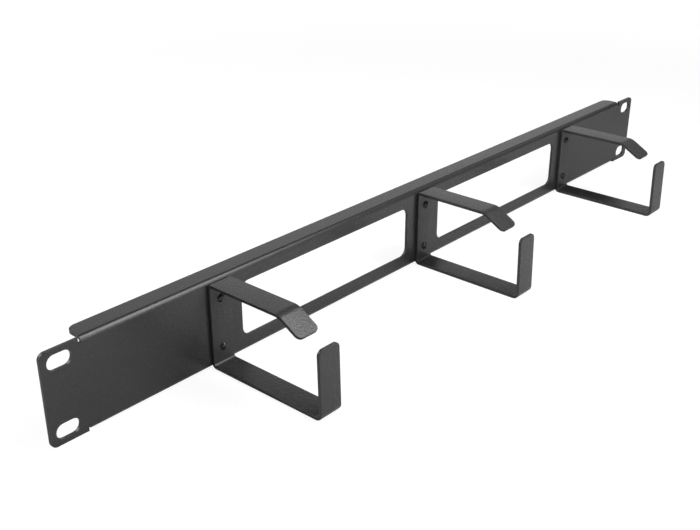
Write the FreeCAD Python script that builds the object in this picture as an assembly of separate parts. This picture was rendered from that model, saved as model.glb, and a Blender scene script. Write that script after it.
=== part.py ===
# Cable management panel, one unit high, for a 19-inch rack: a folded steel sheet with two
# cut-outs, and three folded strip hooks on its front, each held by two round-head rivets.
#
# Frame: +X to the right as seen from the front, +Y to the rear, +Z up. The origin is the centre
# of the four rack slots on the sheet's rear face, which lies against the rack's rails.
# Sizes are in millimetres and count the powder coat in.
import FreeCAD
import Part

import math
import os

# Rack: height of one unit, and how far a screw hole lies inside the unit's edge
rack_unit_height = 44.45
hole_to_unit_edge = 6.35

# Panel
panel_width = 482.6
unit_gap = 0.85
sheet_thickness = 1.5
ear_length = 18.05
ear_corner_radius = 3.0
slot_to_panel_end = 8.75
slot_length = 11.5
slot_width = 7.0

# Folds along the panel's long edges, with a slit between each fold and the ear beside it
relief_width = 1.45
sheet_bend_radius = 1.0
upper_flange_depth = 11.2
lower_flange_depth = 10.0
flange_corner_radius = 4.5

# Cut-outs between the hooks: the sheet left behind each hook, and above and below each cut-out
post_width = 28.0
rail_height = 7.9
cutout_corner_radius = 4.5

# Hooks: each is one strip, folded four times
hook_names = ("left_hook", "centre_hook", "right_hook")
hook_pitch = 150.0
strip_width = 12.6
strip_thickness = 1.7
strip_bend_radius = 1.0
tip_bend_radius = 7.0
lip_bend_radius = 2.0
strip_corner_radius = 2.8
hook_top_setback = 0.8
hook_reach = 68.2
tip_bend_reach = 43.9
tip_length = 14.0
tip_angle = 30.0
lip_top_drop = 8.9
lip_lean_angle = 1.7

# Rivets
rivet_to_panel_edge = 9.55
rivet_shank_diameter = 2.4
rivet_hole_clearance = 0.05
rivet_head_diameter = 4.2
rivet_head_height = 1.5
rivet_tail_diameter = 3.6
rivet_tail_height = 0.8

# Bevel that breaks the edges that cables lie on: those of the hooks and of the cut-outs.
# Faces that meet at less than the smooth angle run into each other and have no edge to break.
edge_bevel = 0.25
smooth_angle = 20.0

# Sizes that follow from those above
panel_height = rack_unit_height - unit_gap
slot_spacing_x = panel_width - 2 * slot_to_panel_end
slot_spacing_z = rack_unit_height - 2 * hole_to_unit_edge
notch_half_length = panel_width / 2 - ear_length
fold_half_length = notch_half_length - relief_width
sheet_front = -sheet_thickness
plate_front = sheet_front - strip_thickness
base_level = -panel_height / 2
hook_top_level = panel_height / 2 - hook_top_setback
rivet_level = panel_height / 2 - rivet_to_panel_edge
rivet_hole_radius = rivet_shank_diameter / 2 + rivet_hole_clearance
middle_hook = (len(hook_names) - 1) / 2
hook_centres = [(number - middle_hook) * hook_pitch for number in range(len(hook_names))]


def point(x, y, z):
    return FreeCAD.Vector(x, y, z)


def nearly_equal(length, other):
    return math.isclose(length, other, rel_tol=1e-5)


def rounded_face(corners, radii):
    """A flat face with the given corners, each rounded by its own radius or left sharp at 0."""
    arcs = []
    for number, corner in enumerate(corners):
        before = (corners[number - 1] - corner).normalize()
        after = (corners[(number + 1) % len(corners)] - corner).normalize()
        half_angle = before.getAngle(after) / 2
        radius = radii[number]
        run = radius / math.tan(half_angle)
        depth = radius / math.sin(half_angle) - radius
        inward = (before + after).normalize()
        arcs.append((corner + before * run, corner + inward * depth, corner + after * run))
    edges = []
    for number, (start, middle, end) in enumerate(arcs):
        if radii[number] > 0:
            edges.append(Part.Arc(start, middle, end).toShape())
        following = arcs[(number + 1) % len(arcs)][0]
        edges.append(Part.LineSegment(end, following).toShape())
    return Part.Face(Part.Wire(edges))


def folded_section(path, thickness, inner_radii):
    """The cross-section, in the YZ plane, of a sheet whose middle follows the path's corners.

    Each corner between the path's two ends has its own inner radius.
    """
    across = []
    for start, end in zip(path, path[1:]):
        along = (end - start).normalize()
        across.append(point(0, -along.z, along.y))
    left = [path[0] + across[0] * (thickness / 2)]
    right = [path[0] - across[0] * (thickness / 2)]
    left_radii = [0]
    right_radii = [0]
    for corner, before, after, inner_radius in zip(path[1:-1], across, across[1:], inner_radii):
        mitre = (before + after) * (thickness / 2 / (1 + before.dot(after)))
        left.append(corner + mitre)
        right.append(corner - mitre)
        turns_left = before.cross(after).x > 0
        left_radii.append(inner_radius if turns_left else inner_radius + thickness)
        right_radii.append(inner_radius + thickness if turns_left else inner_radius)
    left.append(path[-1] + across[-1] * (thickness / 2))
    right.append(path[-1] - across[-1] * (thickness / 2))
    left_radii.append(0)
    right_radii.append(0)
    return rounded_face(left + right[::-1], left_radii + right_radii[::-1])


def extruded_along_x(face, length, centre):
    """The face, drawn in the YZ plane, drawn out along X about the given centre."""
    start = face.translated(point(centre - length / 2, 0, 0))
    return start.extrude(point(length, 0, 0))


def through_sheet(face):
    """A cutter through the sheet, from a face drawn at y = 0."""
    start = face.translated(point(0, -2 * sheet_thickness, 0))
    return start.extrude(point(0, 3 * sheet_thickness, 0))


def rounded_rectangle(left, right, bottom, top, radius):
    """A rectangle at y = 0 with rounded corners."""
    corners = [(left, bottom), (right, bottom), (right, top), (left, top)]
    return rounded_face([point(x, 0, z) for x, z in corners], [radius] * len(corners))


def obround(centre_x, centre_z, length, width):
    """A slot's outline at y = 0: two straight sides and two half-round ends."""
    run = (length - width) / 2
    radius = width / 2
    bottom_left = point(centre_x - run, 0, centre_z - radius)
    bottom_right = point(centre_x + run, 0, centre_z - radius)
    top_right = point(centre_x + run, 0, centre_z + radius)
    top_left = point(centre_x - run, 0, centre_z + radius)
    left_end = point(centre_x - run - radius, 0, centre_z)
    right_end = point(centre_x + run + radius, 0, centre_z)
    lines = [
        Part.LineSegment(bottom_left, bottom_right),
        Part.Arc(bottom_right, right_end, top_right),
        Part.LineSegment(top_right, top_left),
        Part.Arc(top_left, left_end, bottom_left),
    ]
    return Part.Face(Part.Wire([line.toShape() for line in lines]))


def rivet_hole(centre_x, level):
    """A cutter for one rivet, through the strip and the sheet."""
    length = 3 * (sheet_thickness + strip_thickness)
    start = point(centre_x, -length / 2, level)
    return Part.makeCylinder(rivet_hole_radius, length, start, point(0, 1, 0))


def rivet_places():
    return [(centre_x, level) for centre_x in hook_centres for level in (rivet_level, -rivet_level)]


def is_outer_edge(shape, edge):
    """True where two faces meet at an outer corner, and not where one runs smoothly into the next."""
    middle = edge.valueAt((edge.FirstParameter + edge.LastParameter) / 2)
    normals = []
    for face in shape.ancestorsOfType(edge, Part.Face):
        u, v = face.Surface.parameter(middle)
        normals.append(face.normalAt(u, v))
    if normals[0].getAngle(normals[1]) < math.radians(smooth_angle):
        return False
    beside = middle + (normals[0] - normals[1]) * (edge_bevel / 2)
    return not shape.isInside(beside, edge_bevel / 100, False)


def with_broken_edges(shape, edges):
    """The shape with a bevel along those of the edges that are outer ones."""
    return shape.makeChamfer(edge_bevel, [edge for edge in edges if is_outer_edge(shape, edge)])


def fold_band():
    """The folded stretch between the ears: both flanges, their bends and the web."""
    middle = sheet_front + sheet_thickness / 2
    top = panel_height / 2 - sheet_thickness / 2
    path = [
        point(0, sheet_front + upper_flange_depth, top),
        point(0, middle, top),
        point(0, middle, -top),
        point(0, sheet_front + lower_flange_depth, -top),
    ]
    section = folded_section(path, sheet_thickness, [sheet_bend_radius] * 2)
    band = extruded_along_x(section, 2 * fold_half_length, 0)
    rear_corners = [edge for edge in band.Edges if is_flange_corner(edge)]
    return band.makeFillet(flange_corner_radius, rear_corners)


def is_flange_corner(edge):
    """True for the short upright edges at the rear ends of the flanges."""
    centre = edge.CenterOfMass
    upright = nearly_equal(edge.Length, sheet_thickness)
    at_rear = centre.y > sheet_bend_radius
    return upright and at_rear and edge.BoundBox.ZLength > sheet_thickness / 2


def flat_sheet():
    """The flat front: the full width at the ears, notched above and below between them."""
    end = panel_width / 2
    top = panel_height / 2
    web_top = top - sheet_bend_radius - sheet_thickness
    notch = notch_half_length
    quarter = [(end, top, ear_corner_radius), (notch, top, 0), (notch, web_top, 0)]
    outline = [(-x, z, radius) for x, z, radius in quarter]
    outline += [(x, z, radius) for x, z, radius in quarter[::-1]]
    outline += [(x, -z, radius) for x, z, radius in quarter]
    outline += [(-x, -z, radius) for x, z, radius in quarter[::-1]]
    corners = [point(x, sheet_front, z) for x, z, radius in outline]
    radii = [radius for x, z, radius in outline]
    return rounded_face(corners, radii).extrude(point(0, sheet_thickness, 0))


def rack_slots():
    """Cutters for the four slots that take the rack's screws."""
    outlines = []
    for centre_x in (-slot_spacing_x / 2, slot_spacing_x / 2):
        for centre_z in (-slot_spacing_z / 2, slot_spacing_z / 2):
            outlines.append(obround(centre_x, centre_z, slot_length, slot_width))
    return [through_sheet(outline) for outline in outlines]


def cutouts():
    """Cutters for the cut-outs, one between each two hooks."""
    top = panel_height / 2 - rail_height
    outlines = []
    for hook_before, hook_after in zip(hook_centres, hook_centres[1:]):
        left = hook_before + post_width / 2
        right = hook_after - post_width / 2
        outlines.append(rounded_rectangle(left, right, -top, top, cutout_corner_radius))
    return [through_sheet(outline) for outline in outlines]


def is_cutout_edge(edge):
    """True for edges that lie inside the folds and between the first hook and the last."""
    middle = edge.CenterOfMass
    inside_folds = abs(middle.z) < panel_height / 2 - sheet_thickness - sheet_bend_radius
    return inside_folds and hook_centres[0] < middle.x < hook_centres[-1]


def panel():
    sheet = flat_sheet().fuse(fold_band()).removeSplitter()
    sheet = sheet.cut(rack_slots() + cutouts())
    sheet = with_broken_edges(sheet, [edge for edge in sheet.Edges if is_cutout_edge(edge)])
    return sheet.cut([rivet_hole(centre_x, level) for centre_x, level in rivet_places()])


def hook(centre_x):
    """One strip: bent-down tip, upper arm, back plate, lower arm and upright lip."""
    half = strip_thickness / 2
    arm = hook_top_level - half
    base = base_level + half
    plate = sheet_front - half
    lip = sheet_front - hook_reach + half
    tip_bend = sheet_front - tip_bend_reach
    tip_slope = math.radians(tip_angle)
    lean = math.radians(lip_lean_angle)
    lip_rise = hook_top_level - lip_top_drop - base
    path = [
        point(0, tip_bend - tip_length * math.cos(tip_slope), arm - tip_length * math.sin(tip_slope)),
        point(0, tip_bend, arm),
        point(0, plate, arm),
        point(0, plate, base),
        point(0, lip, base),
        point(0, lip + lip_rise * math.tan(lean), base + lip_rise),
    ]
    bend_radii = [tip_bend_radius, strip_bend_radius, strip_bend_radius, lip_bend_radius]
    section = folded_section(path, strip_thickness, bend_radii)
    strip = extruded_along_x(section, strip_width, centre_x)
    ends = (path[0], path[-1])
    corners = [edge for edge in strip.Edges if is_strip_corner(edge, ends)]
    strip = strip.makeFillet(strip_corner_radius, corners)
    strip = with_broken_edges(strip, strip.Edges)
    return strip.cut([rivet_hole(centre_x, level) for level in (rivet_level, -rivet_level)])


def is_strip_corner(edge, ends):
    """True for the short edges across the strip's thickness at its two ends."""
    across_thickness = nearly_equal(edge.Length, strip_thickness)
    centre = edge.CenterOfMass
    distances = [math.hypot(centre.y - end.y, centre.z - end.z) for end in ends]
    return across_thickness and min(distances) < strip_thickness / 4


def rivet(centre_x, level):
    """A round head on the back plate, a shank through strip and sheet, and a flat tail behind."""
    shank = rivet_shank_diameter / 2
    head = rivet_head_diameter / 2
    tail = rivet_tail_diameter / 2
    crown = point(0, plate_front - rivet_head_height, 0)
    corners = [
        crown,
        point(0, rivet_tail_height, 0),
        point(tail, rivet_tail_height, 0),
        point(tail, 0, 0),
        point(shank, 0, 0),
        point(shank, plate_front, 0),
        point(head, plate_front, 0),
    ]
    outline = [Part.LineSegment(start, end) for start, end in zip(corners, corners[1:])]
    dome_radius = (head ** 2 + rivet_head_height ** 2) / (2 * rivet_head_height)
    half_way = math.atan(rivet_head_height / head)
    half_way_up = dome_radius * (1 - math.cos(half_way))
    dome_middle = crown + point(dome_radius * math.sin(half_way), half_way_up, 0)
    outline.append(Part.Arc(corners[-1], dome_middle, crown))
    face = Part.Face(Part.Wire([line.toShape() for line in outline]))
    turned = face.revolve(point(0, 0, 0), point(0, 1, 0), 360)
    return turned.translated(point(centre_x, 0, level))


def main():
    nodes = {"panel": panel()}
    for name, centre_x in zip(hook_names, hook_centres):
        nodes[name] = hook(centre_x)
    nodes["rivets"] = Part.makeCompound([rivet(centre_x, level) for centre_x, level in rivet_places()])
    os.makedirs("parts", exist_ok=True)
    for name, shape in nodes.items():
        shape.exportStep("parts/" + name + ".step")


main()
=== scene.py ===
# Looks of the rack cable management panel: fine-textured black powder coat on the folded panel,
# its strip hooks and their rivets, in a plain studio. Lengths are in metres, in the part's own frame.
import math

import bpy
from mathutils import Matrix, Vector


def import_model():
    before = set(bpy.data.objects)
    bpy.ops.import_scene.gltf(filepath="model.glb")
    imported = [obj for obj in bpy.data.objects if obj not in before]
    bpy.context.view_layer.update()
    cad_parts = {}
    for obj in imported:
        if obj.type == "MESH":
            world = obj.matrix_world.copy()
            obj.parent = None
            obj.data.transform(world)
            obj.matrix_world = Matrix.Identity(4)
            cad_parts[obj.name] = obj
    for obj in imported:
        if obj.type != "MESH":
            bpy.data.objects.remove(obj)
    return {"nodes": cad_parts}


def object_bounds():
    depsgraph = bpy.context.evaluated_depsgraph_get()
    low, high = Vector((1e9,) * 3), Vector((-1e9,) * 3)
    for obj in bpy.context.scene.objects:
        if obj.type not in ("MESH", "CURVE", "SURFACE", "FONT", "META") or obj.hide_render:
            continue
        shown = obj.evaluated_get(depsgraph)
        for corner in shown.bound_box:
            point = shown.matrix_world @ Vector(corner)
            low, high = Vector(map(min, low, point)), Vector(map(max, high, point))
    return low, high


# Camera, worked out from the rack standard's sizes and the panel's straight edges. Angles are in
# degrees, the sensor and the lens in millimetres, and the shift in widths of the picture.
camera_place = (-0.41259, -0.31048, 0.21596)
camera_turn = -48.91
camera_tilt = 64.61
camera_roll = 0.11
sensor_width = 36.0
lens_length = 51.716
lens_shift = (-0.00471, 0.00697)
nearest_seen = 0.01
farthest_seen = 100.0

# Softboxes: where each stands, the point it faces, its width and height, and its power in watts
softboxes = {
    "overhead_box": {
        "place": (0.08, -0.2, 0.45),
        "target": (-0.2, -0.02, 0.0),
        "size": (0.34, 0.26),
        "power": 1.55,
    },
    "right_box": {
        "place": (0.7, -0.11, 0.46),
        "target": (0.04, -0.06, 0.0),
        "size": (0.3, 0.26),
        "power": 0.13,
    },
    "front_right_box": {
        "place": (0.08, -0.4, 0.33),
        "target": (-0.18, -0.03, 0.0),
        "size": (0.28, 0.4),
        "power": 1.15,
    },
    "front_box": {
        "place": (-0.22, -0.6, 0.15),
        "target": (-0.22, -0.03, 0.0),
        "size": (0.6, 0.3),
        "power": 1.45,
    },
    "rear_box": {
        "place": (-0.55, 0.7, 0.6),
        "target": (-0.05, 0.2, 0.0),
        "size": (0.8, 0.5),
        "power": 5.0,
    },
}

# Room: dim all round, with a bright backdrop behind the object. The first two limits say how much
# of a direction points to the rear where the backdrop starts and where it is full. The last two say
# how much of it points up where the backdrop begins to fade and where it has gone.
room_light = 0.1
backdrop_light = 1.0
backdrop_starts = 0.0
backdrop_full = 0.9
backdrop_fades_from = 0.1
backdrop_fades_to = 0.7

# Background: plain white to the camera, in reflections and through clear pieces
background_white = 1.0

# Floor: pale grey paper for the light on the object, and for reflections near it, because a white
# floor there washes out the black coat. Near the object the camera sees a mix of lit white paper,
# which keeps the object's shadow, and a glow that makes up for what the paper lacks of white.
# Between the last two distances the floor turns into the plain white of the background.
floor_half_width = 6.0
floor_gap = 0.00005
floor_colour = 0.65
camera_paper_colour = 1.0
paper_glow = 1.1
glow_share = 0.8
white_from = 0.4
white_to = 0.7

# Coats: how light each is, the width and height of its grains, and its roughness
coats = {
    "panel_coat": {
        "lightness": 0.03,
        "grain_size": 0.0009,
        "grain_height": 0.00009,
        "roughness": 0.25,
    },
    "hook_coat": {
        "lightness": 0.03,
        "grain_size": 0.0009,
        "grain_height": 0.00016,
        "roughness": 0.25,
    },
    "rivet_coat": {
        "lightness": 0.012,
        "grain_size": 0.0006,
        "grain_height": 0.00003,
        "roughness": 0.26,
    },
}
coat_of_node = {
    "panel": "panel_coat",
    "left_hook": "hook_coat",
    "centre_hook": "hook_coat",
    "right_hook": "hook_coat",
    "rivets": "rivet_coat",
}

# Grain of the coats, and the slow clouds over it, whose size is counted in grains. Both are noise
# from 0 to 1 about the middle. The shades are shares of the coat's lightness.
noise_detail = 2.0
grain_fineness = 0.6
cloud_fineness = 0.5
cloud_size = 60
noise_middle = 0.5
grain_share = 0.8
dark_shade = 0.6
light_shade = 1.4
roughness_over_grain = 0.1
roughness_over_clouds = 0.06
coat_ior = 1.5

# Edges: faces are joined across gaps below the first distance, and triangles within the flat angle
# of one another become one face. Edges that turn by more than the sharp angle are rounded.
seam_gap = 2e-6
flat_angle = 0.6
sharp_angle = 60.0
edge_round = 0.0002
edge_segments = 2
large_face_weight = 100


class Signal:
    """A shader socket's value, with arithmetic that adds Math nodes."""

    def __init__(self, tree, socket):
        self.tree = tree
        self.socket = socket

    def calculate(self, operation, *values):
        inputs = dict(enumerate(values))
        return self.tree.node("ShaderNodeMath", {"operation": operation}, inputs)

    def __add__(self, other):
        return self.calculate("ADD", self, other)

    def __radd__(self, other):
        return self.calculate("ADD", other, self)

    def __rsub__(self, other):
        return self.calculate("SUBTRACT", other, self)

    def __mul__(self, other):
        return self.calculate("MULTIPLY", self, other)


class NodeTree:
    """The node tree of a material or a world, emptied and filled again."""

    def __init__(self, owner):
        owner.use_nodes = True
        self.nodes = owner.node_tree.nodes
        self.links = owner.node_tree.links
        self.nodes.clear()

    def node(self, kind, settings=None, inputs=None, output=0):
        """Adds a node with its settings made first, then its inputs set or linked."""
        added = self.nodes.new(kind)
        for name, value in (settings or {}).items():
            setattr(added, name, value)
        for name, value in (inputs or {}).items():
            if isinstance(value, Signal):
                self.links.new(value.socket, added.inputs[name])
            else:
                added.inputs[name].default_value = value
        return Signal(self, added.outputs[output]) if added.outputs else None


def grey(level):
    return (level, level, level, 1.0)


def noise(tree, place, size, fineness):
    """Noise of the given size, from 0 to 1. The finer it is, the more its small detail counts."""
    settings = {"noise_dimensions": "3D", "normalize": True}
    inputs = {"Vector": place, "Scale": 1 / size, "Detail": noise_detail, "Roughness": fineness}
    return tree.node("ShaderNodeTexNoise", settings, inputs, output="Fac")


def powder_coat(name, lightness, grain_size, grain_height, roughness):
    """Powder coat: a fine, even grain of melted powder, darker and duller in its hollows."""
    material = bpy.data.materials.new(name)
    tree = NodeTree(material)
    place = tree.node("ShaderNodeTexCoord", output="Object")
    grain = noise(tree, place, grain_size, grain_fineness)
    clouds = noise(tree, place, cloud_size * grain_size, cloud_fineness)
    shade = tree.node(
        "ShaderNodeMix",
        {"data_type": "RGBA"},
        {
            "Factor": grain * grain_share + clouds * (1 - grain_share),
            "A": grey(lightness * dark_shade),
            "B": grey(lightness * light_shade),
        },
        output="Result",
    )
    relief = tree.node(
        "ShaderNodeBump",
        None,
        {"Strength": 1.0, "Distance": grain_height, "Height": grain},
        output="Normal",
    )
    grain_dulls = (noise_middle - grain) * roughness_over_grain
    clouds_dull = (noise_middle - clouds) * roughness_over_clouds
    coat = tree.node(
        "ShaderNodeBsdfPrincipled",
        None,
        {
            "Base Color": shade,
            "Roughness": roughness + grain_dulls + clouds_dull,
            "IOR": coat_ior,
            "Normal": relief,
        },
    )
    tree.node("ShaderNodeOutputMaterial", None, {"Surface": coat})
    return material


def rising(tree, value, start, end):
    """0 up to the start, 1 from the end on, and smooth between them."""
    settings = {"interpolation_type": "SMOOTHSTEP"}
    inputs = {"Value": value, "From Min": start, "From Max": end}
    return tree.node("ShaderNodeMapRange", settings, inputs, output="Result")


def floor_finish():
    """White to the camera, with the object's shadow kept near it; far off, white in reflections too.

    From below it is clear, so that the object's underside can be looked at.
    """
    material = bpy.data.materials.new("floor_paper")
    tree = NodeTree(material)
    place = tree.node("ShaderNodeTexCoord", output="Object")
    distance = tree.node("ShaderNodeVectorMath", {"operation": "LENGTH"}, {0: place}, output="Value")
    camera = tree.node("ShaderNodeLightPath", output="Is Camera Ray")
    glossy = tree.node("ShaderNodeLightPath", output="Is Glossy Ray")
    through = tree.node("ShaderNodeLightPath", output="Is Transmission Ray")
    paper = tree.node("ShaderNodeBsdfDiffuse", None, {"Color": grey(floor_colour)})
    white_paper = tree.node("ShaderNodeBsdfDiffuse", None, {"Color": grey(camera_paper_colour)})
    glow = tree.node("ShaderNodeEmission", None, {"Color": grey(1.0), "Strength": paper_glow})
    glowing = tree.node("ShaderNodeMixShader", None, {0: glow_share, 1: white_paper, 2: glow})
    near = tree.node("ShaderNodeMixShader", None, {0: camera, 1: paper, 2: glowing})
    white = tree.node("ShaderNodeEmission", None, {"Color": grey(1.0), "Strength": background_white})
    far = rising(tree, distance, white_from, white_to)
    white_share = (camera + glossy + through) * far
    upper_side = tree.node("ShaderNodeMixShader", None, {0: white_share, 1: near, 2: white})
    underside = tree.node("ShaderNodeNewGeometry", output="Backfacing")
    clear = tree.node("ShaderNodeBsdfTransparent")
    both_sides = tree.node("ShaderNodeMixShader", None, {0: underside, 1: upper_side, 2: clear})
    tree.node("ShaderNodeOutputMaterial", None, {"Surface": both_sides})
    return material


def build_floor(level):
    half = floor_half_width
    mesh = bpy.data.meshes.new("studio_floor")
    corners = [(-half, -half, level), (half, -half, level), (half, half, level), (-half, half, level)]
    mesh.from_pydata(corners, [], [(0, 1, 2, 3)])
    mesh.materials.append(floor_finish())
    floor = bpy.data.objects.new("studio_floor", mesh)
    bpy.context.scene.collection.objects.link(floor)


def light_room():
    """Light from the backdrop and the room. The camera sees white, and reflections do on the backdrop."""
    world = bpy.data.worlds.new("studio")
    bpy.context.scene.world = world
    tree = NodeTree(world)
    camera = tree.node("ShaderNodeLightPath", output="Is Camera Ray")
    glossy = tree.node("ShaderNodeLightPath", output="Is Glossy Ray")
    through = tree.node("ShaderNodeLightPath", output="Is Transmission Ray")
    way = tree.node("ShaderNodeTexCoord", output="Generated")
    rearward = tree.node("ShaderNodeSeparateXYZ", None, {"Vector": way}, output="Y")
    upward = tree.node("ShaderNodeSeparateXYZ", None, {"Vector": way}, output="Z")
    behind = rising(tree, rearward, backdrop_starts, backdrop_full)
    backdrop = behind * (1 - rising(tree, upward, backdrop_fades_from, backdrop_fades_to))
    light = room_light + backdrop * (backdrop_light - room_light)
    white_share = camera + (glossy + through) * backdrop
    strength = light + white_share * (background_white - light)
    room = tree.node("ShaderNodeBackground", None, {"Color": grey(1.0), "Strength": strength})
    tree.node("ShaderNodeOutputWorld", None, {"Surface": room})


def hang_softbox(name, place, target, size, power):
    """A rectangular light that faces its target and that the camera doesn't see."""
    lamp = bpy.data.lights.new(name, "AREA")
    lamp.shape = "RECTANGLE"
    lamp.size, lamp.size_y = size
    lamp.energy = power
    softbox = bpy.data.objects.new(name, lamp)
    softbox.location = place
    softbox.rotation_euler = (Vector(target) - Vector(place)).to_track_quat("-Z", "Y").to_euler()
    softbox.visible_camera = False
    bpy.context.scene.collection.objects.link(softbox)


def set_camera():
    camera = bpy.data.cameras.new("camera")
    camera.sensor_width = sensor_width
    camera.lens = lens_length
    camera.shift_x, camera.shift_y = lens_shift
    camera.clip_start = nearest_seen
    camera.clip_end = farthest_seen
    placed = bpy.data.objects.new("camera", camera)
    turn = Matrix.Rotation(math.radians(camera_turn), 4, "Z")
    tilt = Matrix.Rotation(math.radians(camera_tilt), 4, "X")
    roll = Matrix.Rotation(math.radians(camera_roll), 4, "Z")
    placed.matrix_world = Matrix.Translation(camera_place) @ turn @ tilt @ roll
    bpy.context.scene.collection.objects.link(placed)
    bpy.context.scene.camera = placed


def close_seams(piece):
    """Joins the CAD faces' meshes along their seams and merges the triangles of each flat face."""
    weld = piece.modifiers.new("closed_seams", "WELD")
    weld.merge_threshold = seam_gap
    flat = piece.modifiers.new("whole_faces", "DECIMATE")
    flat.decimate_type = "DISSOLVE"
    flat.angle_limit = math.radians(flat_angle)


def round_edges(piece):
    bevel = piece.modifiers.new("rounded_edges", "BEVEL")
    bevel.limit_method = "ANGLE"
    bevel.angle_limit = math.radians(sharp_angle)
    bevel.width = edge_round
    bevel.segments = edge_segments


def shade_smoothly(piece):
    """Flat faces stay flat, and bends and bevels run smoothly between them."""
    for face in piece.data.polygons:
        face.use_smooth = True
    normals = piece.modifiers.new("face_normals", "WEIGHTED_NORMAL")
    normals.weight = large_face_weight
    normals.keep_sharp = False


def finish_piece(piece, coat):
    piece.data.materials.clear()
    piece.data.materials.append(coat)
    close_seams(piece)
    round_edges(piece)
    shade_smoothly(piece)


def main():
    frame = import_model()
    cad_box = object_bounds()
    low = cad_box[0]
    materials = {name: powder_coat(name, **values) for name, values in coats.items()}
    for name, piece in frame["nodes"].items():
        finish_piece(piece, materials[coat_of_node[name]])
    build_floor(low.z - floor_gap)
    light_room()
    for name, softbox in softboxes.items():
        hang_softbox(name, **softbox)
    set_camera()
    bpy.context.scene.view_settings.view_transform = "Standard"
    bpy.context.view_layer.update()


main()
